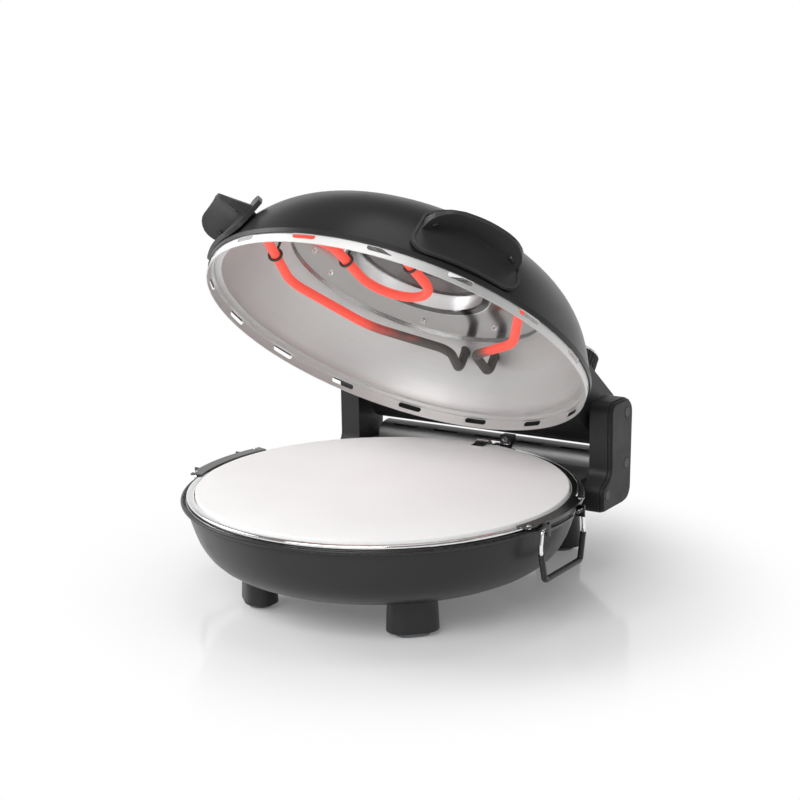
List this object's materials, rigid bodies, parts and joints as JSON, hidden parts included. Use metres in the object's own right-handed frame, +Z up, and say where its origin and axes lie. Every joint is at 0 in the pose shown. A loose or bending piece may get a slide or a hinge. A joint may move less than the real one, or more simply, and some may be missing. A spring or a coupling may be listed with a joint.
{
  "type": "electric pizza maker",
  "caption": "Round electric pizza oven with a baking stone in a black bowl and a hinged dome lid with a window, heating tube, cup handles and a knob.",
  "frame": {"origin": "on the table surface, under the middle of the outline of the object with its lid open as modelled, 19.1 mm behind the centre of the baking stone", "axes": "+Z up, -Y towards the front, +Y towards the hinge, +X to the right seen from the front"},
  "size_m": [0.346, 0.3727, 0.3421],
  "materials": {
    "black_paint": "satin black enamel",
    "bright_steel": "bright pressed sheet",
    "polished_steel": "polished, softly mirroring",
    "chrome": "bright plating",
    "stone": "matte off-white cordierite",
    "tube_dark": "oxidised dark grey tube",
    "black_plastic": "fine grained black",
    "grey_rubber": "matte grey",
    "dark_metal": "glossy dark grey",
    "black_steel": "black coated steel",
    "steel": "plain",
    "black_sleeve": "smooth black sleeve",
    "clear_glass": "clear tempered",
    "brass": "dull",
    "tube_hot": "glowing red tube"
  },
  "bodies": {
    "base": {"base_shell": "black_paint", "base_reflector": "bright_steel", "stone_ring": "chrome", "pizza_stone": "stone", "lower_element": "tube_dark", "lower_element_clips": "bright_steel", "feet": "black_plastic", "foot_pads": "grey_rubber", "hinge_base": "black_plastic", "rear_deck": "dark_metal", "cord_gland": "black_plastic", "arm_left": "black_plastic", "arm_right": "black_plastic", "arm_cover_left": "black_plastic", "arm_cover_right": "black_plastic", "cover_screws": "black_steel", "hinge_pin_left": "steel", "hinge_pin_right": "steel", "bracket_left": "black_steel", "bracket_right": "black_steel", "bracket_rivets": "chrome", "stone_clip": "chrome", "clip_block": "black_plastic", "clip_screw": "chrome"},
    "lid": {"lid_shell": "black_paint", "lid_reflector": "bright_steel", "ceiling_disc": "polished_steel", "window_collar": "chrome", "window_glass": "clear_glass", "window_frame": "black_paint", "upper_element": "tube_hot", "element_clips": "tube_dark", "ceiling_screws": "chrome", "handle_left": "black_plastic", "handle_right": "black_plastic", "handle_screws": "steel", "rear_housing": "black_plastic", "thermostat": "brass"},
    "knob_body": {"knob": "black_plastic", "knob_cap": "chrome", "knob_spindle": "steel"},
    "bail_left_body": {"bail_left": "chrome", "bail_sleeve_left": "black_sleeve"},
    "bail_right_body": {"bail_right": "chrome", "bail_sleeve_right": "black_sleeve"}
  },
  "joints": [
    {"name": "lid_hinge", "type": "hinge", "parent": "base", "child": "lid", "pos_m": [0, 0.1589, 0.12], "axis": [-1, 0, 0], "range_deg": [-38.4, 36.6]},
    {"name": "knob_turn", "type": "hinge", "parent": "lid", "child": "knob_body", "pos_m": [0.09, 0.14594, 0.16804], "axis": [0, 0.6211, 0.7837], "range_deg": [0, 270]},
    {"name": "bail_left_swing", "type": "hinge", "parent": "base", "child": "bail_left_body", "pos_m": [-0.1685, -0.0191, 0.0871], "axis": [0, 1, 0], "range_deg": [-8, 100]},
    {"name": "bail_right_swing", "type": "hinge", "parent": "base", "child": "bail_right_body", "pos_m": [0.1685, -0.0191, 0.0871], "axis": [0, -1, 0], "range_deg": [-8, 100]}
  ]
}
